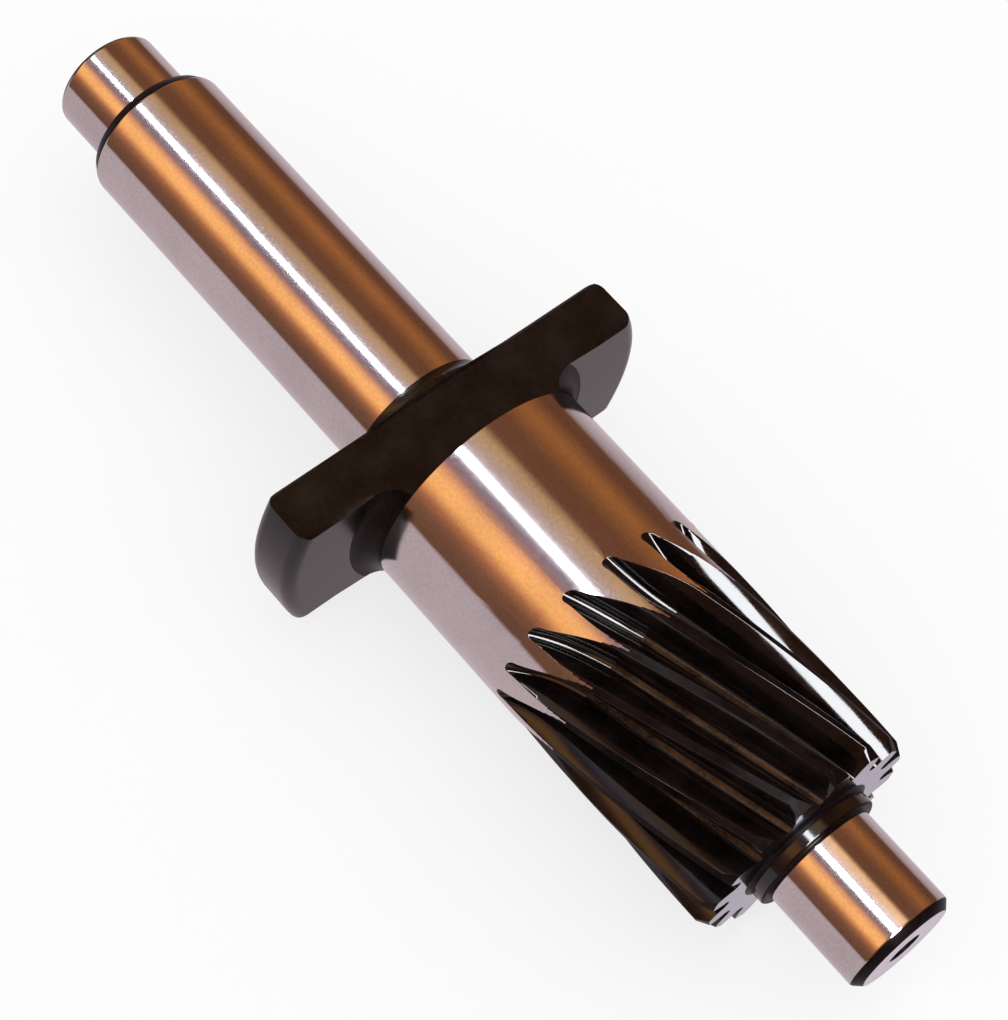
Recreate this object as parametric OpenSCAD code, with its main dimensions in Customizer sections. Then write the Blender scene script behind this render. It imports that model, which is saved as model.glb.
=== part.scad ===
// Pinion shaft: one forged, turned, hobbed and ground piece.
// X runs along the shaft towards the pinion end, the flats of the flange face up and down,
// and the origin is on the axis at mid length.

/* [Rear end] */
// Diameter of the rear journal
rear_journal_d = 18; // [12:0.5:21]
// Length of the rear journal, up to the shoulder of the long seat
rear_journal_len = 12.5; // [6:0.5:30]
// Chamfer at the end of the rear journal
rear_end_chamfer = 0.8; // [0.2:0.1:2]

/* [Long seat] */
// Diameter of the long ground seat
seat_d = 24; // [22.5:0.5:28]
// Length of the long seat, from its shoulder to the back of the flange
seat_len = 68.8; // [30:0.2:120]
// Length of the lead-in cone at the seat's shoulder
seat_lead_len = 1.8; // [0.5:0.1:3]
// Slope of the lead-in cone against the axis, degrees
seat_lead_angle = 30; // [10:1:36]

/* [Flange] */
// Diameter over the rounded ends of the two arms
flange_d = 67.5; // [60:0.5:100]
// Thickness of the arms along the shaft
flange_t = 9.1; // [6:0.1:20]
// Distance across the two flats
flange_flats = 25; // [24.5:0.5:34]
// Edge radius round the rim of the arms
rim_radius = 2; // [0.5:0.1:2.5]
// Edge break along the flats of the arms
flat_edge_break = 0.6; // [0.2:0.1:1.2]
// Root fillet behind the flange
back_fillet = 2.3; // [1:0.1:4]
// Root fillet in front of the flange, which is also the gap from the arms to the barrel's shoulder
front_fillet = 3.3; // [1:0.1:5]

/* [Barrel and teeth] */
// Diameter of the ground barrel, and over the tips of the teeth
barrel_d = 38; // [36:0.5:44]
// Length from the front of the arms to the pinion's end face
barrel_len = 74.5; // [66:0.1:100]
// Length of the cone that breaks the tooth tips at the end face
pinion_cone_len = 1.8; // [0.5:0.1:3]
// Slope of that cone against the axis, degrees
pinion_cone_angle = 30; // [15:1:45]
// Number of teeth
tooth_count = 16; // [14:1:20]
// Helix angle at the pitch circle, left hand, degrees
helix_angle = 16; // [5:0.5:25]
// Normal pressure angle, degrees
pressure_angle = 20; // [18:0.5:22.5]
// Profile shift as a part of the module
profile_shift = 0.18; // [0:0.01:0.3]
// Depth of the teeth as a part of the module
depth_factor = 2.25; // [2:0.01:2.4]
// Thinning of each tooth for backlash, along the pitch circle
backlash = 0.1; // [0:0.02:0.3]
// Length of the teeth at full depth, from the end face
full_depth_len = 33.7; // [15:0.1:40]
// Radius of the hob that leaves the curved run-out
hob_radius = 16; // [14:0.5:22]
// Extra turn of the tooth spaces along the run-out, degrees per mm
runout_skew = 0.25; // [0:0.01:0.4]
// Angle of a tooth space at the end face, from straight up towards +Y, degrees
first_space_angle = -3.4; // [-12:0.1:12]

/* [Front end] */
// Diameter of the collar in front of the pinion
collar_d = 21; // [20.5:0.5:25]
// Length of the collar
collar_len = 2.7; // [2:0.1:8]
// Edge chamfer of the collar
collar_chamfer = 0.3; // [0.1:0.1:0.8]
// Root fillet between the pinion's end face and the collar
collar_fillet = 0.8; // [0.3:0.1:1.5]
// Diameter of the front journal
front_journal_d = 18; // [12:0.5:18.5]
// Length of the front journal
front_journal_len = 17.6; // [8:0.2:40]
// Root fillet of the front journal at the collar
journal_fillet = 0.4; // [0.2:0.1:1.2]
// Chamfer at the end of the front journal
front_end_chamfer = 1.3; // [0.3:0.1:2]

/* [Centre holes] */
// Mouth of the 60 degree cone of each centre hole
centre_mouth_d = 5.5; // [3:0.1:6.5]
// Pilot bore of each centre hole
centre_pilot_d = 2.5; // [1.5:0.1:2.8]
// Depth of each pilot bore from the end face
centre_depth = 6; // [5:0.1:9]

/* [Hidden] */
$fn = 96;

// Places along the shaft, from the rear end
x_seat = rear_journal_len;
x_back = x_seat + seat_len;
x_front = x_back + flange_t;
x_barrel = x_front + front_fillet;
x_pinion = x_front + barrel_len;
x_collar = x_pinion + collar_len;
x_end = x_collar + front_journal_len;

// Tooth sizes, with the tips flush with the barrel
tip_r = barrel_d / 2;
module_n = barrel_d / (tooth_count / cos(helix_angle) + 2 * (1 + profile_shift));
pitch_r = tooth_count * module_n / (2 * cos(helix_angle));
transverse_angle = atan(tan(pressure_angle) / cos(helix_angle));
base_r = pitch_r * cos(transverse_angle);
root_r = tip_r - depth_factor * module_n;
flank_r = max(base_r, root_r + 0.5 * module_n) + 0.02;
twist = tan(helix_angle) / pitch_r * 180 / PI;
x_full = x_pinion - full_depth_len;

// Play past a surface, so that a cut goes clean through it
over = 0.5;

// Steps of the tooth space along its full depth, along the run-out, and up each flank
full_steps = 6;
runout_steps = 9;
flank_steps = 5;
root_steps = 5;

// Involute of an angle, in degrees
function involute(a) = tan(a) * 180 / PI - a;

// Half of a tooth, and half of a tooth space, as angles at radius r
function tooth_half(r) =
    (90 + 360 / PI * profile_shift * tan(pressure_angle)) / tooth_count
    - backlash / (2 * pitch_r) * 180 / PI
    + involute(transverse_angle) - involute(acos(min(1, base_r / r)));
function space_half(r) = 180 / tooth_count - tooth_half(r);

// Outline of a tooth space: [half width, height] down one flank, round the root, up the other
// flank and closed by a lid clear of the barrel
function flank_point(r) = [r * sin(space_half(r)), r * cos(space_half(r))];
flank = [for (i = [0:flank_steps - 1])
    flank_point(tip_r + over - i * (tip_r + over - flank_r) / (flank_steps - 1))];
foot = flank[flank_steps - 1];
root = [for (i = [1:root_steps])
    let (a = 180 * i / (root_steps + 1)) [foot[0] * cos(a), foot[1] - (foot[1] - root_r) * sin(a)]];
far_flank = [for (i = [flank_steps - 1:-1:0]) [-flank[i][0], flank[i][1]]];
lid = [for (side = [-1, 1]) [side * flank[0][0], tip_r + 4 * over]];
space_outline = concat(flank, root, far_flank, lid);

// Lift of the hob along its run-out, and the length until the hob is clear of the barrel
clear_lift = depth_factor * module_n + over;
runout_len = sqrt(hob_radius * hob_radius - pow(hob_radius - clear_lift, 2));
function lift(x) = x > x_full ? 0 : hob_radius - sqrt(hob_radius * hob_radius - pow(x_full - x, 2));
function space_turn(x) =
    first_space_angle - (x_pinion - x) * twist - max(0, x_full - x) * runout_skew;

// Places of the outline along the tooth space, from past the end face back to the end of the run-out
stations = concat(
    [for (i = [0:full_steps]) x_pinion + over - i * (full_depth_len + over) / full_steps],
    [for (i = [1:runout_steps]) x_full - i * runout_len / runout_steps]);

// Solid of revolution about the shaft from an outline of [radius, place along the shaft]
module about_axis() {
    translate([-x_end / 2, 0, 0]) rotate([0, 90, 0]) rotate_extrude() children();
}

// Stepped shaft without flange or teeth
module turned_shaft() {
    rear_r = rear_journal_d / 2;
    seat_r = seat_d / 2;
    front_r = front_journal_d / 2;
    collar_r = collar_d / 2;
    about_axis() polygon([
        [0, 0],
        [rear_r - rear_end_chamfer, 0],
        [rear_r, rear_end_chamfer],
        [rear_r, x_seat],
        [seat_r - seat_lead_len * tan(seat_lead_angle), x_seat],
        [seat_r, x_seat + seat_lead_len],
        [seat_r, x_barrel],
        [tip_r, x_barrel],
        [tip_r, x_pinion - pinion_cone_len],
        [tip_r - pinion_cone_len * tan(pinion_cone_angle), x_pinion],
        [collar_r, x_pinion],
        [collar_r, x_collar - collar_chamfer],
        [collar_r - collar_chamfer, x_collar],
        [front_r, x_collar],
        [front_r, x_end - front_end_chamfer],
        [front_r - front_end_chamfer, x_end],
        [0, x_end]
    ]);
    about_axis() root_fillet(collar_r, x_pinion, collar_fillet);
    about_axis() root_fillet(front_r, x_collar, journal_fillet);
}

// Outline of a fillet that stands on radius r in front of a face at x
module root_fillet(r, x, size) {
    difference() {
        translate([r - over, x - over]) square(size + over);
        translate([r + size, x + size]) circle(size);
    }
}

// Outline of a disc with a rounded rim, between two faces
module rounded_disc(r, x0, x1, edge) {
    translate([0, x0]) square([r - edge, x1 - x0]);
    translate([0, x0 + edge]) square([r, x1 - x0 - 2 * edge]);
    for (x = [x0 + edge, x1 - edge]) translate([r - edge, x]) circle(edge);
}

// Bar across the shaft with its long edges broken, thick along X and tall along Z
module broken_bar(x0, x1, tall, edge) {
    long = flange_d + 2 * over;
    rotate([90, 0, 0]) translate([-x_end / 2, 0, -long / 2]) linear_extrude(long) polygon([
        [x0, tall / 2 - edge], [x0 + edge, tall / 2], [x1 - edge, tall / 2], [x1, tall / 2 - edge],
        [x1, edge - tall / 2], [x1 - edge, -tall / 2], [x0 + edge, -tall / 2], [x0, edge - tall / 2]
    ]);
}

// Flange of two arms with flats, and its filleted roots on the seat and the barrel
module flange() {
    seat_r = seat_d / 2;
    intersection() {
        about_axis() rounded_disc(flange_d / 2, x_back, x_front, rim_radius);
        broken_bar(x_back, x_front, flange_flats, flat_edge_break);
    }
    intersection() {
        about_axis() union() {
            translate([0, x_back - back_fillet]) square([seat_r, x_barrel - x_back + back_fillet]);
            difference() {
                translate([0, x_back - back_fillet])
                    square([seat_r + back_fillet, back_fillet + flat_edge_break + over]);
                translate([seat_r + back_fillet, x_back - back_fillet]) circle(back_fillet);
            }
            difference() {
                translate([0, x_front - flat_edge_break - over])
                    square([tip_r + front_fillet, front_fillet + flat_edge_break + over]);
                translate([tip_r + front_fillet, x_barrel]) circle(front_fillet);
            }
        }
        broken_bar(x_back - 2 * back_fillet, x_barrel + over, flange_flats, 0.1);
    }
}

// One tooth space, swept along its helix and lifted out along the hob's arc
module tooth_space(index) {
    n = len(space_outline);
    points = [for (x = stations, p = space_outline)
        let (a = space_turn(x) + index * 360 / tooth_count, h = p[1] + lift(x))
        [x - x_end / 2, h * sin(a) + p[0] * cos(a), h * cos(a) - p[0] * sin(a)]];
    last = (len(stations) - 1) * n;
    sides = [for (s = [0:len(stations) - 2], i = [0:n - 1])
        let (a = s * n + i, b = s * n + (i + 1) % n) each [[a, a + n, b], [b, a + n, b + n]]];
    ends = [[for (i = [0:n - 1]) i], [for (i = [n - 1:-1:0]) last + i]];
    polyhedron(points, concat(sides, ends));
}

// Centre hole that opens at the end face x, drilled along the given sense of X
module centre_hole(x, sense) {
    cone_len = (centre_mouth_d - centre_pilot_d) / 2 / tan(30);
    translate([x - x_end / 2, 0, 0]) rotate([0, 90 * sense, 0]) {
        translate([0, 0, -over]) cylinder(h = centre_depth + over, d = centre_pilot_d);
        cylinder(h = cone_len, d1 = centre_mouth_d, d2 = centre_pilot_d);
    }
}

module pinion_shaft() {
    color("silver") difference() {
        union() {
            turned_shaft();
            flange();
        }
        for (i = [0:tooth_count - 1]) tooth_space(i);
        centre_hole(0, 1);
        centre_hole(x_end, -1);
    }
}

pinion_shaft();
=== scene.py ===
from math import acos, atan, cos, pi, radians, sin, sqrt, tan

import bmesh
import bpy
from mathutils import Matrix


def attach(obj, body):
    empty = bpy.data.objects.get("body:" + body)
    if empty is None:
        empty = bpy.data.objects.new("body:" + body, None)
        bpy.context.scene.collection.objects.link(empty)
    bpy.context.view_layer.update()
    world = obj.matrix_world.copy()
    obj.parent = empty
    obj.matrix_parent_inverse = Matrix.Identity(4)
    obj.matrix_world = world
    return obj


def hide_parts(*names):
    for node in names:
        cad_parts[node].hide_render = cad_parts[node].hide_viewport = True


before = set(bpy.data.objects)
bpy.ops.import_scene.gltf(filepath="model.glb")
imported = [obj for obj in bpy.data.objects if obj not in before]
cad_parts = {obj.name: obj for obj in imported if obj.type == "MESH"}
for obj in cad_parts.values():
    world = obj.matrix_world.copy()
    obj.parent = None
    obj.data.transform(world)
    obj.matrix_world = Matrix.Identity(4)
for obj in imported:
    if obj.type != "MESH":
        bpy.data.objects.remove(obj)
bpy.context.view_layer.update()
scene = bpy.context.scene
scene.view_settings.view_transform = "Standard"
mm = 0.001
print("frame loaded:", list(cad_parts))

# camera, from the circles and edges of the shaft
viewSetup = {
    "place": (0.13185, -0.15049, 0.34828),
    "turn": (28.9011, -5.5932, 49.8308),
    "lens": 95.294, "sensor": 36.0, "nearest": 0.01,
}


def addCamera(setup):
    data = bpy.data.cameras.new("camera")
    data.lens = setup["lens"]
    data.sensor_width = setup["sensor"]
    data.clip_start = setup["nearest"]
    camera = bpy.data.objects.new("camera", data)
    camera.location = setup["place"]
    camera.rotation_euler = [radians(a) for a in setup["turn"]]
    scene.collection.objects.link(camera)
    scene.camera = camera


addCamera(viewSetup)
print("camera placed")


# node helpers

def addNode(tree, kind, place, **values):
    node = tree.nodes.new(kind)
    node.location = place
    for name, value in values.items():
        setattr(node, name, value)
    return node


def mathNode(tree, operation, place, first, second=None, third=None):
    node = addNode(tree, "ShaderNodeMath", place, operation=operation)
    for socket, value in zip(node.inputs, (first, second, third)):
        if value is None:
            continue
        if isinstance(value, (int, float)):
            socket.default_value = value
        else:
            tree.links.new(value, socket)
    return node.outputs[0]


def rampNode(tree, place, value, stops):
    node = addNode(tree, "ShaderNodeValToRGB", place)
    ramp = node.color_ramp
    while len(ramp.elements) < len(stops):
        ramp.elements.new(0.5)
    for element, (position, colour) in zip(ramp.elements, stops):
        element.position = position
        element.color = (*colour, 1.0)
    tree.links.new(value, node.inputs["Fac"])
    return node.outputs["Color"]


def mixed(tree, place, kind, mask, first, second):
    node = addNode(tree, "ShaderNodeMix", place, data_type=kind)
    a, b = [k for k in node.inputs if k.enabled and k.name in "AB"]
    tree.links.new(mask, node.inputs[0])
    for socket, value in ((a, first), (b, second)):
        if isinstance(value, bpy.types.NodeSocket):
            tree.links.new(value, socket)
        else:
            socket.default_value = value
    return next(k for k in node.outputs if k.enabled)


def rangeNode(tree, place, value, ends):
    node = addNode(tree, "ShaderNodeMapRange", place, interpolation_type="SMOOTHSTEP")
    tree.links.new(value, node.inputs["Value"])
    node.inputs["From Min"].default_value, node.inputs["From Max"].default_value = ends
    return node.outputs[0]


# sizes of the shaft in mm, as in the part
shaft = {
    "rearR": 9.0, "rearLen": 12.5, "rearChamfer": 0.8,
    "seatR": 12.0, "seatLen": 68.8, "leadLen": 1.8, "leadAngle": 30.0,
    "flangeR": 33.75, "flangeT": 9.1, "halfFlats": 12.5,
    "rimRadius": 2.0, "flatBreak": 0.6, "breakRunout": 7.0, "backFillet": 2.3, "frontFillet": 3.3,
    "barrelR": 19.0, "barrelLen": 74.5, "coneLen": 1.8, "coneAngle": 30.0,
    "collarR": 10.5, "collarLen": 2.7, "collarChamfer": 0.3, "collarFillet": 0.8,
    "frontR": 9.0, "frontLen": 17.6, "journalFillet": 0.4, "frontChamfer": 1.3,
    "holeMouthR": 2.75, "holePilotR": 1.25, "holeDepth": 6.0, "holeAngle": 30.0,
    "edgeRound": 0.3,
    "blackBorder": 0.15,  # the grinding stops this far behind the back fillet
}
teeth = {
    "count": 16, "helix": 16.0, "pressure": 20.0, "shift": 0.18, "depth": 2.25,
    "backlash": 0.1, "fullLen": 33.7, "hobRadius": 16.0, "skew": 0.25, "firstAngle": -3.4,
    "footRise": 0.5, "footGap": 0.02,  # start of the flank over the root, in modules and mm
    "rootPart": 0.3, "pastTip": 0.5,  # share of a half space that is root, and mm past the tip
    "edgeBreak": 0.04, "edgeShare": 0.25,  # mm off the tooth edges, less where a space is narrow
    "flankLen": 6.0,  # mm from the middle of a root to its tip, roughly
    "halfSteps": 11, "landSteps": 10,
    "fullRings": 26, "runoutRings": 20, "coneRings": 3,
    "crowding": 2.2, "tipGap": 0.004,  # rings of the run-out stand closer at its pointed ends
    "fadeRings": 3,  # rings over which the grinding fades out on the tips
}
# how closely the rings and points stand
meshPlan = {
    "evenSeat": 30.0, "drawnSeat": 32.0,  # mm past the shoulder, before and after the rings change
    "seatRings": 8, "backRings": 10, "frontRings": 9, "barrelRings": 14,
    "hubAngle": 12.0, "armAngle": 45.0,  # corners of a ring on the round seat, before the flats
    "armDepths": [0.0, 0.1, 0.3, 0.6, 1.0, 1.5, 2.0],  # mm in from either face of the arms
    "filletSteps": 5,
    "straight": 0.2,  # a corner that turns less than this is left unrounded
    "mergeGap": 0.002, "thinEdge": 0.001,
    "borderAngle": 8, "sharpAngle": 34,  # edges sharper than this break the shading
}
xSeat = shaft["rearLen"]
xBack = xSeat + shaft["seatLen"]
xFront = xBack + shaft["flangeT"]
xBarrel = xFront + shaft["frontFillet"]
xPinion = xFront + shaft["barrelLen"]
xCollar = xPinion + shaft["collarLen"]
xEnd = xCollar + shaft["frontLen"]
ringCount = teeth["count"] * (2 * teeth["halfSteps"] + teeth["landSteps"])
groundSlot, blackSlot, darkSlot, facedSlot, dullSlot, rootSlot, gearFaceSlot = range(7)


# teeth: involute flank, rounded root, lifted along the arc of the hob
tipR = shaft["barrelR"]
moduleN = 2 * tipR / (teeth["count"] / cos(radians(teeth["helix"])) + 2 * (1 + teeth["shift"]))
pitchR = teeth["count"] * moduleN / (2 * cos(radians(teeth["helix"])))
transverse = atan(tan(radians(teeth["pressure"])) / cos(radians(teeth["helix"])))
baseR = pitchR * cos(transverse)
rootR = tipR - teeth["depth"] * moduleN
flankR = max(baseR, rootR + teeth["footRise"] * moduleN) + teeth["footGap"]
twist = tan(radians(teeth["helix"])) / pitchR
xFull = xPinion - teeth["fullLen"]
runout = sqrt(teeth["hobRadius"] ** 2 - (teeth["hobRadius"] - teeth["depth"] * moduleN) ** 2)
xTip = xFull - runout


def spaceHalf(r):
    def involute(a):
        return tan(a) - a
    toothHalf = (pi / 2 + 2 * teeth["shift"] * tan(radians(teeth["pressure"]))) / teeth["count"]
    toothHalf -= teeth["backlash"] / (2 * pitchR)
    toothHalf += involute(transverse) - involute(acos(min(1.0, baseR / r)))
    return pi / teeth["count"] - toothHalf


footW = flankR * sin(spaceHalf(flankR))
footH = flankR * cos(spaceHalf(flankR))


def halfSpace(s):
    # from the middle of the root at 0 to past the tip at 1
    root = teeth["rootPart"]
    if s < root:
        a = pi / 2 * (1 - s / root)
        return footW * cos(a), footH - (footH - rootR) * sin(a)
    r = flankR + (s - root) / (1 - root) * (tipR + teeth["pastTip"] - flankR)
    return r * sin(spaceHalf(r)), r * cos(spaceHalf(r))


def hobLift(x):
    if x > xFull:
        return 0.0
    return teeth["hobRadius"] - sqrt(teeth["hobRadius"] ** 2 - (xFull - x) ** 2)


def spaceTurn(x):
    return (radians(teeth["firstAngle"]) - (xPinion - x) * twist
            - max(0.0, xFull - x) * radians(teeth["skew"]))


pitch = 2 * pi / teeth["count"]
firstSpace = -round(spaceTurn(xTip) / pitch)  # the space whose run-out ends nearest the top


def toothRing(x, outerR):
    lift = hobLift(x)
    low, high = 0.0, 1.0
    for _ in range(40):  # where the flank meets the tip circle
        middle = (low + high) / 2
        w, h = halfSpace(middle)
        if w * w + (h + lift) ** 2 < outerR ** 2:
            low = middle
        else:
            high = middle
    w, h = halfSpace(low)
    edgeAngle = atan(w / (h + lift))
    edge = min(teeth["edgeBreak"], teeth["edgeShare"] * w)
    top = low - edge / teeth["flankLen"]
    steps = teeth["halfSteps"]
    half = []
    for i in range(steps + 1):
        w, h = halfSpace(max(0.0, top) * i / steps)
        half.append((atan(w / (h + lift)), sqrt(w * w + (h + lift) ** 2)))
    landStart = edgeAngle + edge / outerR
    ring = []
    for k in range(teeth["count"]):
        middle = spaceTurn(x) + (k + firstSpace) * pitch
        for angle, r in half:
            ring.append((middle + angle, r))
        for i in range(teeth["landSteps"] - 1):
            part = i / (teeth["landSteps"] - 2)
            ring.append((middle + landStart + part * (pitch - 2 * landStart), outerR))
        for angle, r in half[:0:-1]:
            ring.append((middle + pitch - angle, r))
    return [(x, a, r) for a, r in ring]


def toothSlots(land, root, dull=0):
    # the grinding fades out on the tips, from their edges inwards
    side = [root, dullSlot if root == rootSlot else root]
    side += [darkSlot] * (teeth["halfSteps"] - 1)
    wide = teeth["landSteps"] - 2
    top = [dullSlot if min(i, wide - 1 - i) < dull else land for i in range(wide)]
    return (side + top + side[::-1]) * teeth["count"]


# flange: discs and fillets cut by two flats, with ring points kept on the corners

def flatAngles(hubCorner, armCorner):
    quarter = ringCount // 4
    marks = [(0, 0.0), (quarter // 4, hubCorner), (quarter // 2, armCorner), (quarter, pi / 2)]
    first = []
    for (i0, a0), (i1, a1) in zip(marks, marks[1:]):
        first += [a0 + (a1 - a0) * (i - i0) / (i1 - i0) for i in range(i0, i1)]
    second = [pi - a for a in [pi / 2] + first[:0:-1]]
    return first + second + [a + pi for a in first + second]


def flatSlots(corner, onFlat, beside):
    # slots for one ring: on the two flats up to this ring point, and beside them
    half = ringCount // 2
    return [onFlat if min(k % half, half - 1 - k % half) < corner else beside for k in range(ringCount)]


def cornerOf(r, flat):
    return acos(min(1.0, flat / r))


def cut(a, r, flat):
    return min(r, flat / max(1e-6, abs(cos(a))))


def evenAngles():
    return [2 * pi * i / ringCount for i in range(ringCount)]


def plainRing(x, r, start=0.0):
    return [(x, a + start, r) for a in evenAngles()]


def roundRing(x, r, angles):
    return [(x, a, r) for a in angles]


def mixAngles(first, second, part):
    return [a + (b - a) * part for a, b in zip(first, second)]


# turned outlines: [place, radius, slot of the wall after it], corners rounded

def turnedRings(outline, start=0.0):
    rings = []
    for i, (x, r, slot) in enumerate(outline):
        if i in (0, len(outline) - 1):
            rings.append((plainRing(x, r, start), slot))
            continue
        before = outline[i - 1]
        after = outline[i + 1]
        din = (before[0] - x, before[1] - r)
        dout = (after[0] - x, after[1] - r)
        lin = sqrt(din[0] ** 2 + din[1] ** 2)
        lout = sqrt(dout[0] ** 2 + dout[1] ** 2)
        e = min(shaft["edgeRound"], lin / 3, lout / 3)
        straight = abs(din[0] * dout[1] - din[1] * dout[0]) < meshPlan["straight"] * lin * lout
        if straight:
            rings.append((plainRing(x, r, start), slot))
            continue
        p0 = (x + din[0] / lin * e, r + din[1] / lin * e)
        p2 = (x + dout[0] / lout * e, r + dout[1] / lout * e)
        for t in (0.0, 0.5, 1.0):
            px = (1 - t) ** 2 * p0[0] + 2 * t * (1 - t) * x + t * t * p2[0]
            pr = (1 - t) ** 2 * p0[1] + 2 * t * (1 - t) * r + t * t * p2[1]
            rings.append((plainRing(px, pr, start), slot if t > 0.25 else before[2]))
    return rings


def filletArc(x0, r0, size, slot):
    # hollow corner from a face down to a wall: starts at the face, ends on the wall
    steps = meshPlan["filletSteps"]
    out = []
    for i in range(steps + 1):
        a = pi / 2 * i / steps
        out.append((x0 + size * (1 - cos(a)), r0 + size * (1 - sin(a)), slot))
    return out


def holeOutline(face, sense, slot, faceSlot):
    cone = (shaft["holeMouthR"] - shaft["holePilotR"]) / tan(radians(shaft["holeAngle"]))
    return [
        (face + sense * shaft["holeDepth"], shaft["holePilotR"], slot),
        (face + sense * cone, shaft["holePilotR"], slot),
        (face, shaft["holeMouthR"], faceSlot),
    ]


def rearRings():
    s = shaft
    leadR = s["seatR"] - s["leadLen"] * tan(radians(s["leadAngle"]))
    outline = holeOutline(0.0, 1, darkSlot, facedSlot) + [
        (0.0, s["rearR"] - s["rearChamfer"], dullSlot),
        (s["rearChamfer"], s["rearR"], groundSlot),
        (xSeat, s["rearR"], blackSlot),
        (xSeat, leadR, dullSlot),
        (xSeat + s["leadLen"], s["seatR"], groundSlot),
        (xSeat + meshPlan["evenSeat"], s["seatR"], groundSlot),
    ]
    return turnedRings(outline)


def flangeRings():
    s = shaft
    rings = []
    even = evenAngles()
    back = s["backFillet"]
    front = s["frontFillet"]
    flat = s["halfFlats"]
    hubR = s["seatR"] + back
    hubStart = radians(meshPlan["hubAngle"])
    armStart = radians(meshPlan["armAngle"])
    start = flatAngles(hubStart, armStart)
    # the seat, with the ring points drawn towards the corners of the hub
    x0 = xSeat + meshPlan["drawnSeat"]
    x1 = xBack - back - s["blackBorder"]
    last = meshPlan["seatRings"] - 1
    for i in range(last + 1):
        part = i / last
        rings.append((roundRing(x0 + (x1 - x0) * part, s["seatR"], mixAngles(even, start, part)),
                      groundSlot if i < last else blackSlot))
    # back fillet, cut by the flats
    armCorner = cornerOf(s["flangeR"] - s["rimRadius"], flat - s["flatBreak"])
    last = meshPlan["backRings"] - 1
    for i in range(last + 1):
        a = pi / 2 * i / last
        x = xBack - back + back * sin(a)
        r = hubR - back * cos(a)
        hub = max(hubStart, cornerOf(r, flat))
        angles = flatAngles(hub, armStart + (armCorner - armStart) * (i / last) ** 2)
        rings.append(([(x, t, cut(t, r, flat)) for t in angles], blackSlot))
    # arms, with a rounded rim and broken long edges
    hubBack = cornerOf(hubR, flat)
    hubFront = cornerOf(s["barrelR"] + front, flat)
    depths = meshPlan["armDepths"]
    length = s["flangeT"]
    for d in depths + [length / 2] + [length - d for d in depths[::-1]]:
        side = min(d, length - d)
        edge = s["rimRadius"] - min(side, s["rimRadius"])
        r = s["flangeR"] - s["rimRadius"] + sqrt(s["rimRadius"] ** 2 - edge ** 2)
        level = flat - max(0.0, s["flatBreak"] - side)
        inner = min(1.0, max(0.0, (d - s["flatBreak"]) / (length - 2 * s["flatBreak"])))
        hub = hubBack + (hubFront - hubBack) * inner
        angles = flatAngles(hub, cornerOf(r, level))
        hubHere = hubR if d < length / 2 else s["barrelR"] + front
        hubSide = sqrt(hubHere ** 2 - flat ** 2)
        places = []
        for t in angles:
            # the broken edge runs out where the arm meets the hub
            beside = flat * abs(tan(t)) - hubSide
            faded = flat - (flat - level) * min(1.0, max(0.0, beside / s["breakRunout"]))
            places.append((xBack + d, t, cut(t, r, faded)))
        broken = d < s["flatBreak"]
        rings.append((places, flatSlots(ringCount // 8, dullSlot, blackSlot) if broken else blackSlot))
    # front fillet, cut by the flats, up to the barrel's shoulder
    last = meshPlan["frontRings"] - 1
    for i in range(last + 1):
        a = pi / 2 * i / last
        x = xFront + front * (1 - cos(a))
        r = s["barrelR"] + front * (1 - sin(a))
        angles = flatAngles(cornerOf(r, flat), armCorner)
        slots = flatSlots(ringCount // 16, blackSlot, dullSlot)
        rings.append(([(x, t, cut(t, r, flat)) for t in angles], slots))
    shoulder = flatAngles(cornerOf(s["barrelR"], flat), armCorner)
    rings.append((roundRing(xBarrel, s["barrelR"], shoulder), groundSlot))
    return rings, shoulder


def toothRings(shoulder):
    s = shaft
    rings = []
    tipRing = toothRing(xTip + teeth["tipGap"], tipR)
    tipAngles = [a for _, a, _ in tipRing]
    count = meshPlan["barrelRings"]
    for i in range(1, count + 1):
        part = i / count
        x = xBarrel + (xTip - xBarrel) * part
        rings.append((roundRing(x, tipR, mixAngles(shoulder, tipAngles, part)), groundSlot))
    last = teeth["runoutRings"]
    fade = teeth["fadeRings"]
    for i in range(1, last + 1):
        part = (i / last) ** teeth["crowding"]
        slots = toothSlots(groundSlot, darkSlot if i < last else rootSlot, max(0, i - last + fade))
        rings.append((toothRing(xTip + runout * part, tipR), slots))
    xCone = xPinion - s["coneLen"]
    slots = toothSlots(dullSlot, rootSlot)
    for i in range(1, teeth["fullRings"] + 1):
        rings.append((toothRing(xFull + (xCone - xFull) * i / teeth["fullRings"], tipR), slots))
    last = teeth["coneRings"]
    for i in range(1, last + 1):
        x = xCone + s["coneLen"] * i / last
        r = tipR - (x - xCone) * tan(radians(s["coneAngle"]))
        rings.append((toothRing(x, r), slots if i < last else gearFaceSlot))
    return rings


def frontRings():
    s = shaft
    outline = filletArc(xPinion, s["collarR"], s["collarFillet"], dullSlot)[:-1]
    outline += [
        (xPinion + s["collarFillet"], s["collarR"], darkSlot),
        (xCollar - s["collarChamfer"], s["collarR"], dullSlot),
        (xCollar, s["collarR"] - s["collarChamfer"], dullSlot),
    ]
    outline += filletArc(xCollar, s["frontR"], s["journalFillet"], dullSlot)[:-1]
    outline += [
        (xCollar + s["journalFillet"], s["frontR"], groundSlot),
        (xEnd - s["frontChamfer"], s["frontR"], dullSlot),
        (xEnd, s["frontR"] - s["frontChamfer"], facedSlot),
    ]
    outline += holeOutline(xEnd, -1, dullSlot, dullSlot)[::-1]
    return turnedRings(outline, spaceTurn(xPinion) + firstSpace * pitch)


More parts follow.
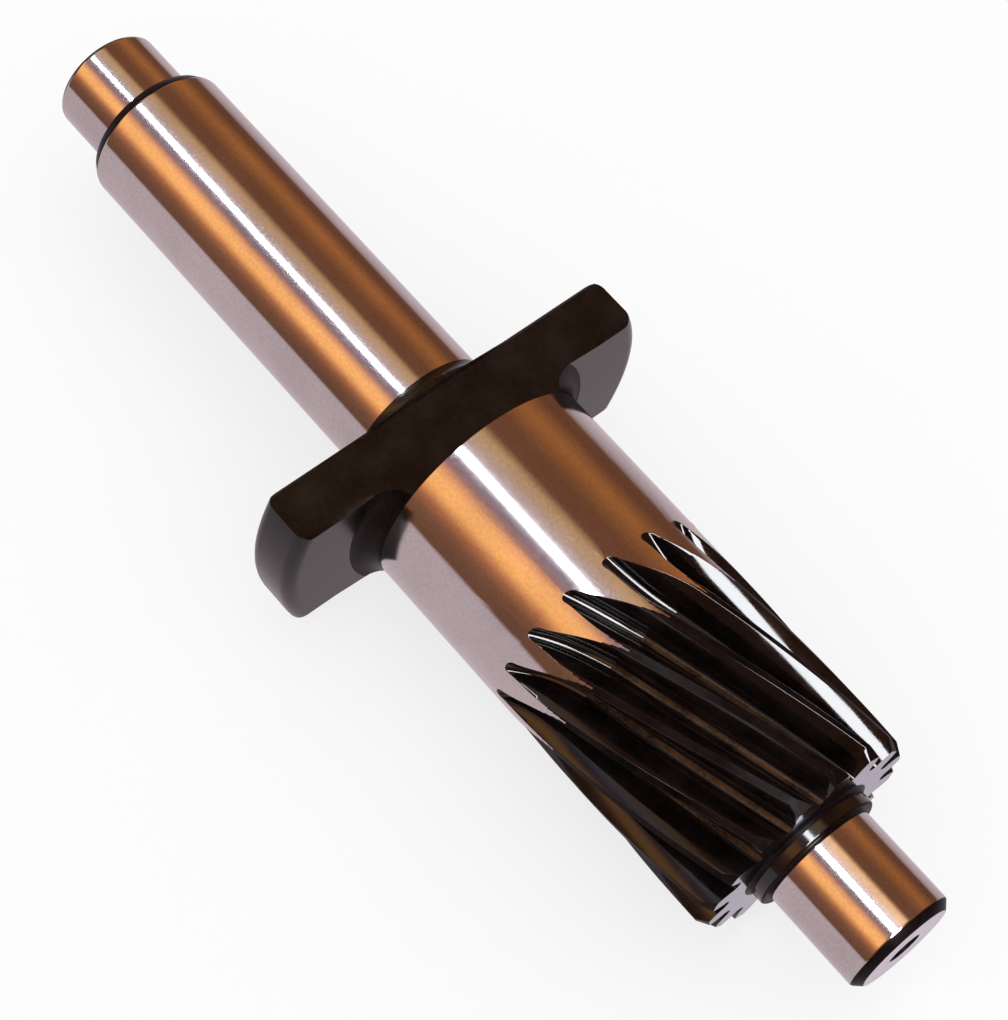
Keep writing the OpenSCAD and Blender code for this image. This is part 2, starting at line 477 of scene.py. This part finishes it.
def buildShaft():
    flange, shoulder = flangeRings()
    rings = rearRings() + flange + toothRings(shoulder) + frontRings()
    bm = bmesh.new()
    made = bmesh.ops.create_circle(bm, cap_ends=False, segments=ringCount, radius=mm)
    ring = made["verts"]
    slots = None
    for number, (places, slot) in enumerate(rings):
        if number:
            edges = [bm.edges.get((ring[i - 1], ring[i])) for i in range(ringCount)]
            made = bmesh.ops.extrude_edge_only(bm, edges=edges)
            fresh = {g for g in made["geom"] if isinstance(g, bmesh.types.BMVert)}
            following = []
            for vert in ring:
                following.append(next(e.other_vert(vert) for e in vert.link_edges
                                      if e.other_vert(vert) in fresh))
            ring = following
            for i in range(ringCount):
                face = bm.edges.get((ring[i - 1], ring[i])).link_faces[0]
                face.material_index = slots if isinstance(slots, int) else slots[i - 1]
        for vert, (x, a, r) in zip(ring, places):
            vert.co = ((x - xEnd / 2) * mm, r * sin(a) * mm, r * cos(a) * mm)
        if number == 0:
            firstRing = ring
        slots = slot
    for ends, x in ((firstRing, shaft["holeDepth"]), (ring, xEnd - shaft["holeDepth"])):
        bmesh.ops.pointmerge(bm, verts=closeEnd(bm, ends), merge_co=((x - xEnd / 2) * mm, 0.0, 0.0))
    bmesh.ops.remove_doubles(bm, verts=bm.verts, dist=meshPlan["mergeGap"] * mm)
    bmesh.ops.dissolve_degenerate(bm, edges=bm.edges, dist=meshPlan["thinEdge"] * mm)
    bmesh.ops.recalc_face_normals(bm, faces=bm.faces)
    for face in bm.faces:
        face.smooth = True
    for edge in bm.edges:
        kinds = {face.material_index for face in edge.link_faces}
        low = all(v.co.yz.length < pitchR * mm for v in edge.verts)
        border = len(kinds) > 1 and kinds != {groundSlot, dullSlot}
        if low and kinds <= {darkSlot, dullSlot, rootSlot}:  # the rounded roots stay smooth
            border = False
        limit = meshPlan["borderAngle"] if border else meshPlan["sharpAngle"]
        edge.smooth = edge.calc_face_angle(0.0) < radians(limit)
    mesh = bpy.data.meshes.new("pinionShaft")
    bm.to_mesh(mesh)
    bm.free()
    piece = bpy.data.objects.new("pinionShaft", mesh)
    scene.collection.objects.link(piece)
    even = piece.modifiers.new("evenNormals", "WEIGHTED_NORMAL")
    even.keep_sharp = True
    return piece


def closeEnd(bm, ring):
    edges = [bm.edges.get((ring[i - 1], ring[i])) for i in range(ringCount)]
    made = bmesh.ops.extrude_edge_only(bm, edges=edges)
    for face in (g for g in made["geom"] if isinstance(g, bmesh.types.BMFace)):
        face.material_index = darkSlot
    return [g for g in made["geom"] if isinstance(g, bmesh.types.BMVert)]


piece = buildShaft()
print("shaft built:", len(piece.data.vertices), "points", len(piece.data.polygons), "faces")


# finishes
finish = {
    "ground": {"colour": (0.62, 0.575, 0.565), "rough": 0.10, "lines": 9000.0},
    "black": {"colour": (0.0040, 0.0028, 0.0016), "rough": 0.21, "ior": 1.5,
              "scale": 1500.0, "depth": 0.00006},
    "dark": {"colour": (0.005, 0.003, 0.003), "rough": 0.10, "ior": 1.52,
             "scale": 1800.0, "depth": 0.00001},
    "root": {"colour": (0.040, 0.020, 0.010), "rough": 0.34, "ior": 1.14,
             "scale": 1800.0, "depth": 0.00002},
    "faced": {"colour": (0.84, 0.88, 0.92), "rough": 0.28, "lines": 6000.0},
    "dull": {"colour": (0.006, 0.0032, 0.003), "rough": 0.34, "ior": 1.12,
             "scale": 1500.0, "depth": 0.00003},
    "gearFace": {"colour": (0.38, 0.46, 0.56), "rough": 0.15, "lines": 6000.0},
}
steelGrain = {
    "cloudScale": 90.0, "cloudDetail": 3.0, "grainScale": 2200.0, "grainDetail": 2.0, "lineDetail": 4.0,
    "tones": [(0.3, 0.84), (0.7, 1.10)],
    "lineRough": 0.08, "lineHeight": 0.1, "depth": 0.00002, "strength": 0.5,
}
skinTone = {
    "grainDetail": 5.0, "grainRough": 0.65, "patchPart": 0.12, "patchDetail": 3.0,
    "tones": [(0.38, 0.25), (0.62, 2.0)],
    "patchRough": 0.2, "strength": 0.35,
}


def addSockets(group, inputs, outputs):
    for name, kind in inputs:
        group.interface.new_socket(name=name, in_out="INPUT", socket_type="NodeSocket" + kind)
    for name in outputs:
        group.interface.new_socket(name=name, in_out="OUTPUT", socket_type="NodeSocketFloat")


def turningLinesGroup():
    group = bpy.data.node_groups.new("turningLines", "ShaderNodeTree")
    addSockets(group, [("Vector", "Vector"), ("Spacing", "Float")], ["Line", "Cloud", "Grain"])
    entry = addNode(group, "NodeGroupInput", (-800, 0))
    leave = addNode(group, "NodeGroupOutput", (400, 0))
    split = addNode(group, "ShaderNodeSeparateXYZ", (-600, 0))
    group.links.new(entry.outputs["Vector"], split.inputs[0])
    along = mathNode(group, "MULTIPLY", (-400, 100), split.outputs["X"], entry.outputs["Spacing"])
    lines = addNode(group, "ShaderNodeTexNoise", (-200, 100), noise_dimensions="1D")
    lines.inputs["Scale"].default_value = 1.0
    lines.inputs["Detail"].default_value = steelGrain["lineDetail"]
    group.links.new(along, lines.inputs["W"])
    cloud = addNode(group, "ShaderNodeTexNoise", (-200, -200))
    cloud.inputs["Scale"].default_value = steelGrain["cloudScale"]
    cloud.inputs["Detail"].default_value = steelGrain["cloudDetail"]
    group.links.new(entry.outputs["Vector"], cloud.inputs["Vector"])
    grain = addNode(group, "ShaderNodeTexNoise", (-200, -450))
    grain.inputs["Scale"].default_value = steelGrain["grainScale"]
    grain.inputs["Detail"].default_value = steelGrain["grainDetail"]
    group.links.new(entry.outputs["Vector"], grain.inputs["Vector"])
    group.links.new(grain.outputs[0], leave.inputs["Grain"])
    group.links.new(lines.outputs[0], leave.inputs["Line"])
    group.links.new(cloud.outputs[0], leave.inputs["Cloud"])
    return group


def skinGrainGroup():
    group = bpy.data.node_groups.new("skinGrain", "ShaderNodeTree")
    addSockets(group, [("Vector", "Vector"), ("Scale", "Float")], ["Grain", "Patch"])
    entry = addNode(group, "NodeGroupInput", (-600, 0))
    leave = addNode(group, "NodeGroupOutput", (300, 0))
    grain = addNode(group, "ShaderNodeTexNoise", (-300, 150))
    grain.inputs["Detail"].default_value = skinTone["grainDetail"]
    grain.inputs["Roughness"].default_value = skinTone["grainRough"]
    patch = addNode(group, "ShaderNodeTexNoise", (-300, -150))
    patch.inputs["Detail"].default_value = skinTone["patchDetail"]
    small = mathNode(group, "MULTIPLY", (-450, -250), entry.outputs["Scale"], skinTone["patchPart"])
    for node, scale in ((grain, entry.outputs["Scale"]), (patch, small)):
        group.links.new(entry.outputs["Vector"], node.inputs["Vector"])
        group.links.new(scale, node.inputs["Scale"])
    group.links.new(grain.outputs[0], leave.inputs["Grain"])
    group.links.new(patch.outputs[0], leave.inputs["Patch"])
    return group


turningLines = turningLinesGroup()
skinGrain = skinGrainGroup()


def newMaterial(name, metallic):
    material = bpy.data.materials.new(name)
    material.use_nodes = True
    tree = material.node_tree
    shader = tree.nodes["Principled BSDF"]
    shader.inputs["Metallic"].default_value = metallic
    coords = addNode(tree, "ShaderNodeTexCoord", (-1200, 0))
    return material, tree, shader, coords.outputs["Object"]


def shade(colour, factor):
    return tuple(c * factor for c in colour)


def bump(tree, shader, height, distance, strength):
    node = addNode(tree, "ShaderNodeBump", (-250, -350))
    node.inputs["Distance"].default_value = distance
    node.inputs["Strength"].default_value = strength
    tree.links.new(height, node.inputs["Height"])
    tree.links.new(node.outputs[0], shader.inputs["Normal"])


def steelMaterial(name, look):
    material, tree, shader, coords = newMaterial(name, 1.0)
    lines = addNode(tree, "ShaderNodeGroup", (-950, 0), node_tree=turningLines)
    tree.links.new(coords, lines.inputs["Vector"])
    lines.inputs["Spacing"].default_value = look["lines"]
    tone = mathNode(tree, "ADD", (-780, 150), lines.outputs["Cloud"], lines.outputs["Grain"])
    tone = mathNode(tree, "MULTIPLY", (-680, 150), tone, 0.5)
    colour = rampNode(tree, (-600, 150), tone,
                      [(at, shade(look["colour"], tint)) for at, tint in steelGrain["tones"]])
    spread = steelGrain["lineRough"]
    rough = mathNode(tree, "MULTIPLY", (-600, -100), lines.outputs["Line"], spread)
    rough = mathNode(tree, "ADD", (-420, -100), rough, look["rough"] - spread / 2)
    tree.links.new(colour, shader.inputs["Base Color"])
    tree.links.new(rough, shader.inputs["Roughness"])
    wave = mathNode(tree, "MULTIPLY", (-600, -300), lines.outputs["Line"], steelGrain["lineHeight"])
    wave = mathNode(tree, "ADD", (-420, -300), wave, lines.outputs["Cloud"])
    bump(tree, shader, wave, steelGrain["depth"], steelGrain["strength"])
    return material


def skinMaterial(name, look):
    material, tree, shader, coords = newMaterial(name, 0.0)
    shader.inputs["IOR"].default_value = look["ior"]
    grain = addNode(tree, "ShaderNodeGroup", (-950, 0), node_tree=skinGrain)
    tree.links.new(coords, grain.inputs["Vector"])
    grain.inputs["Scale"].default_value = look["scale"]
    both = mathNode(tree, "ADD", (-750, 100), grain.outputs["Grain"], grain.outputs["Patch"])
    both = mathNode(tree, "MULTIPLY", (-680, 100), both, 0.5)
    colour = rampNode(tree, (-600, 150), both,
                      [(at, shade(look["colour"], tint)) for at, tint in skinTone["tones"]])
    tree.links.new(colour, shader.inputs["Base Color"])
    spread = skinTone["patchRough"]
    rough = mathNode(tree, "MULTIPLY", (-600, -100), grain.outputs["Patch"], spread)
    rough = mathNode(tree, "ADD", (-420, -100), rough, look["rough"] - spread / 2)
    tree.links.new(rough, shader.inputs["Roughness"])
    bump(tree, shader, grain.outputs["Grain"], look["depth"], skinTone["strength"])
    return material


# in the order of the slots
for make, name, look in (
    (steelMaterial, "groundSteel", "ground"), (skinMaterial, "blackForging", "black"),
    (skinMaterial, "darkSteel", "dark"), (steelMaterial, "facedSteel", "faced"),
    (skinMaterial, "dullBlack", "dull"), (skinMaterial, "toothRoot", "root"),
    (steelMaterial, "gearFace", "gearFace"),
):
    piece.data.materials.append(make(name, finish[look]))
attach(piece, "root")
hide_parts("pinion_shaft")
print("finishes set")


# pale floor, soft light and a warm room for the bright steel to show
room = {
    "floorZ": -shaft["barrelR"] * mm,
    "floorSize": 3.0,
    "floorTone": 0.95, "floorGlow": 0.75,  # the glow shows to the camera alone
    # seen in a second mirror the floor's glow is turned down, a painted shadow of the shaft
    "secondMirrorShadow": 0.2, "mirrorCount": (1.6, 1.4),
    "paper": (0.67, 0.57, 0.61),
    "paperMiddle": -0.10,
    "paperEdge": (0.15, 0.36),
    "dark": (0.20, 0.08, 0.04),
    "axisToCamera": -23.4,  # degrees about the shaft, from straight up
    # walls of the room: degrees about the shaft from the camera's side, and colour
    "walls": [
        (-62, (0.22, 0.10, 0.06)), (-50, (0.30, 0.13, 0.07)), (-41, (0.62, 0.23, 0.10)),
        (-30, (1.54, 0.74, 0.24)), (-20, (1.55, 0.78, 0.28)), (-14, (1.25, 0.58, 0.26)),
        (-7, (0.50, 0.28, 0.25)), (-1, (0.33, 0.26, 0.34)), (5, (0.45, 0.40, 0.48)),
        (13, (0.68, 0.58, 0.66)), (25, (0.75, 0.51, 0.34)), (34, (0.72, 0.44, 0.22)),
        (42, (0.22, 0.09, 0.045)), (60, (0.23, 0.09, 0.04)), (84, (0.49, 0.18, 0.05)),
        (106, (0.20, 0.08, 0.04)),
    ],
    "wallEnds": (0.22, 0.0),  # along the shaft, as part of the way out
    # long lamp beside the camera
    "lamp": {"angle": 8.4, "half": 2.6, "wider": 8.0, "strength": 22.0, "colour": (0.95, 0.97, 1.0),
             "ends": (-0.60, -0.52), "widens": (0.02, 0.30)},
    # the near end of the room is lighter, and the lamp is wider there
    "near": {"along": (-0.26, -0.14), "wider": 1.7, "lighter": 0.9, "from": (13, 20), "to": (42, 33)},
    "sky": (1.0, 1.0, 1.0),
}


def addFloor():
    bm = bmesh.new()
    bmesh.ops.create_grid(bm, x_segments=1, y_segments=1, size=room["floorSize"])
    for vert in bm.verts:
        vert.co.z = room["floorZ"]
    mesh = bpy.data.meshes.new("floor")
    bm.to_mesh(mesh)
    bm.free()
    floor = bpy.data.objects.new("floor", mesh)
    scene.collection.objects.link(floor)
    material = bpy.data.materials.new("paleFloor")
    material.use_nodes = True
    tree = material.node_tree
    tree.nodes.clear()
    out = addNode(tree, "ShaderNodeOutputMaterial", (600, 0))
    path = addNode(tree, "ShaderNodeLightPath", (-600, 300))
    matte = addNode(tree, "ShaderNodeBsdfDiffuse", (-200, 0))
    matte.inputs["Color"].default_value = (*[room["floorTone"]] * 3, 1.0)
    glow = addNode(tree, "ShaderNodeEmission", (-200, -200))
    glow.inputs["Color"].default_value = (1.0, 1.0, 1.0, 1.0)
    shown = addNode(tree, "ShaderNodeMixShader", (100, 0))
    part = mathNode(tree, "MULTIPLY", (-100, 200), path.outputs["Is Camera Ray"], room["floorGlow"])
    tree.links.new(part, shown.inputs[0])
    tree.links.new(matte.outputs[0], shown.inputs[1])
    tree.links.new(glow.outputs[0], shown.inputs[2])
    # bright steel sees the pale paper near the shaft and the darker room past it
    coords = addNode(tree, "ShaderNodeTexCoord", (-900, -400))
    split = addNode(tree, "ShaderNodeSeparateXYZ", (-750, -400))
    tree.links.new(coords.outputs["Object"], split.inputs[0])
    away = mathNode(tree, "SUBTRACT", (-600, -400), split.outputs["Y"], room["paperMiddle"])
    away = mathNode(tree, "ABSOLUTE", (-450, -400), away)
    paper = rampNode(tree, (-300, -400), away,
                     [(room["paperEdge"][0], room["paper"]), (room["paperEdge"][1], room["dark"])])
    mirrored = addNode(tree, "ShaderNodeEmission", (0, -400))
    tree.links.new(paper, mirrored.inputs["Color"])
    # painted shadow: the mirrored paper is dimmed for glossy rays past their first bounce
    near = rangeNode(tree, (-200, -600), path.outputs["Ray Depth"], room["mirrorCount"])
    near = mathNode(tree, "MAXIMUM", (-100, -600), near, room["secondMirrorShadow"])
    tree.links.new(near, mirrored.inputs["Strength"])
    last = addNode(tree, "ShaderNodeMixShader", (350, 0))
    tree.links.new(path.outputs["Is Glossy Ray"], last.inputs[0])
    tree.links.new(shown.outputs[0], last.inputs[1])
    tree.links.new(mirrored.outputs[0], last.inputs[2])
    tree.links.new(last.outputs[0], out.inputs[0])
    mesh.materials.append(material)


def addWorld():
    world = bpy.data.worlds.new("room")
    scene.world = world
    world.use_nodes = True
    tree = world.node_tree
    tree.nodes.clear()
    out = addNode(tree, "ShaderNodeOutputWorld", (800, 0))
    path = addNode(tree, "ShaderNodeLightPath", (-200, 400))
    coords = addNode(tree, "ShaderNodeTexCoord", (-1000, 0))
    split = addNode(tree, "ShaderNodeSeparateXYZ", (-800, 0))
    tree.links.new(coords.outputs["Generated"], split.inputs[0])
    turn = radians(room["axisToCamera"])
    ahead = mathNode(tree, "ADD", (-450, 100),
                     mathNode(tree, "MULTIPLY", (-600, 150), split.outputs["Z"], cos(turn)),
                     mathNode(tree, "MULTIPLY", (-600, 50), split.outputs["Y"], sin(turn)))
    aside = mathNode(tree, "SUBTRACT", (-450, -100),
                     mathNode(tree, "MULTIPLY", (-600, -50), split.outputs["Y"], cos(turn)),
                     mathNode(tree, "MULTIPLY", (-600, -150), split.outputs["Z"], sin(turn)))
    angle = mathNode(tree, "ARCTAN2", (-300, 0), aside, ahead)
    place = mathNode(tree, "ADD", (-50, 0), mathNode(tree, "DIVIDE", (-150, 0), angle, 2 * pi), 0.5)
    walls = rampNode(tree, (100, 0), place, [((a + 180) / 360, c) for a, c in room["walls"]])
    inside = rangeNode(tree, (100, -250), split.outputs["X"], room["wallEnds"])
    warm = addNode(tree, "ShaderNodeBackground", (400, 0))
    walls = mixed(tree, (250, 0), "RGBA", inside, (*room["dark"], 1.0), walls)
    tree.links.new(walls, warm.inputs["Color"])
    lamp = room["lamp"]
    near = room["near"]
    nearer = rangeNode(tree, (-300, -900), split.outputs["X"], near["along"])
    lighter = mathNode(tree, "MULTIPLY", (-50, -800),
                       rangeNode(tree, (-200, -750), angle, [radians(a) for a in near["from"]]),
                       rangeNode(tree, (-200, -900), angle, [radians(a) for a in near["to"]]))
    lighter = mathNode(tree, "MULTIPLY", (50, -800), lighter, nearer)
    lighter = mathNode(tree, "MULTIPLY_ADD", (150, -800), lighter, near["lighter"], 1.0)
    tree.links.new(lighter, warm.inputs["Strength"])
    spread = rangeNode(tree, (-300, -600), split.outputs["X"], lamp["widens"])
    spread = mathNode(tree, "MULTIPLY", (-150, -600), spread, radians(lamp["wider"]))
    spread = mathNode(tree, "ADD", (-150, -450), spread, radians(lamp["half"]))
    spread = mathNode(tree, "ADD", (-50, -450), spread,
                      mathNode(tree, "MULTIPLY", (-150, -900), nearer, radians(near["wider"])))
    shining = mathNode(tree, "COMPARE", (0, -450), angle, radians(lamp["angle"]), spread)
    shining = mathNode(tree, "MULTIPLY", (150, -450), shining,
                       rangeNode(tree, (0, -600), split.outputs["X"], lamp["ends"]))
    strip = addNode(tree, "ShaderNodeBackground", (400, -300))
    strip.inputs["Color"].default_value = (*lamp["colour"], 1.0)
    shining = mathNode(tree, "MULTIPLY", (250, -450), shining, lamp["strength"])
    tree.links.new(shining, strip.inputs["Strength"])
    both = addNode(tree, "ShaderNodeAddShader", (500, -100))
    tree.links.new(warm.outputs[0], both.inputs[0])
    tree.links.new(strip.outputs[0], both.inputs[1])
    sky = addNode(tree, "ShaderNodeBackground", (400, 150))
    sky.inputs["Color"].default_value = (*room["sky"], 1.0)
    shown = addNode(tree, "ShaderNodeMixShader", (600, 100))
    tree.links.new(path.outputs["Is Glossy Ray"], shown.inputs[0])
    tree.links.new(sky.outputs[0], shown.inputs[1])
    tree.links.new(both.outputs[0], shown.inputs[2])
    tree.links.new(shown.outputs[0], out.inputs[0])


addFloor()
addWorld()
print("floor and room made")
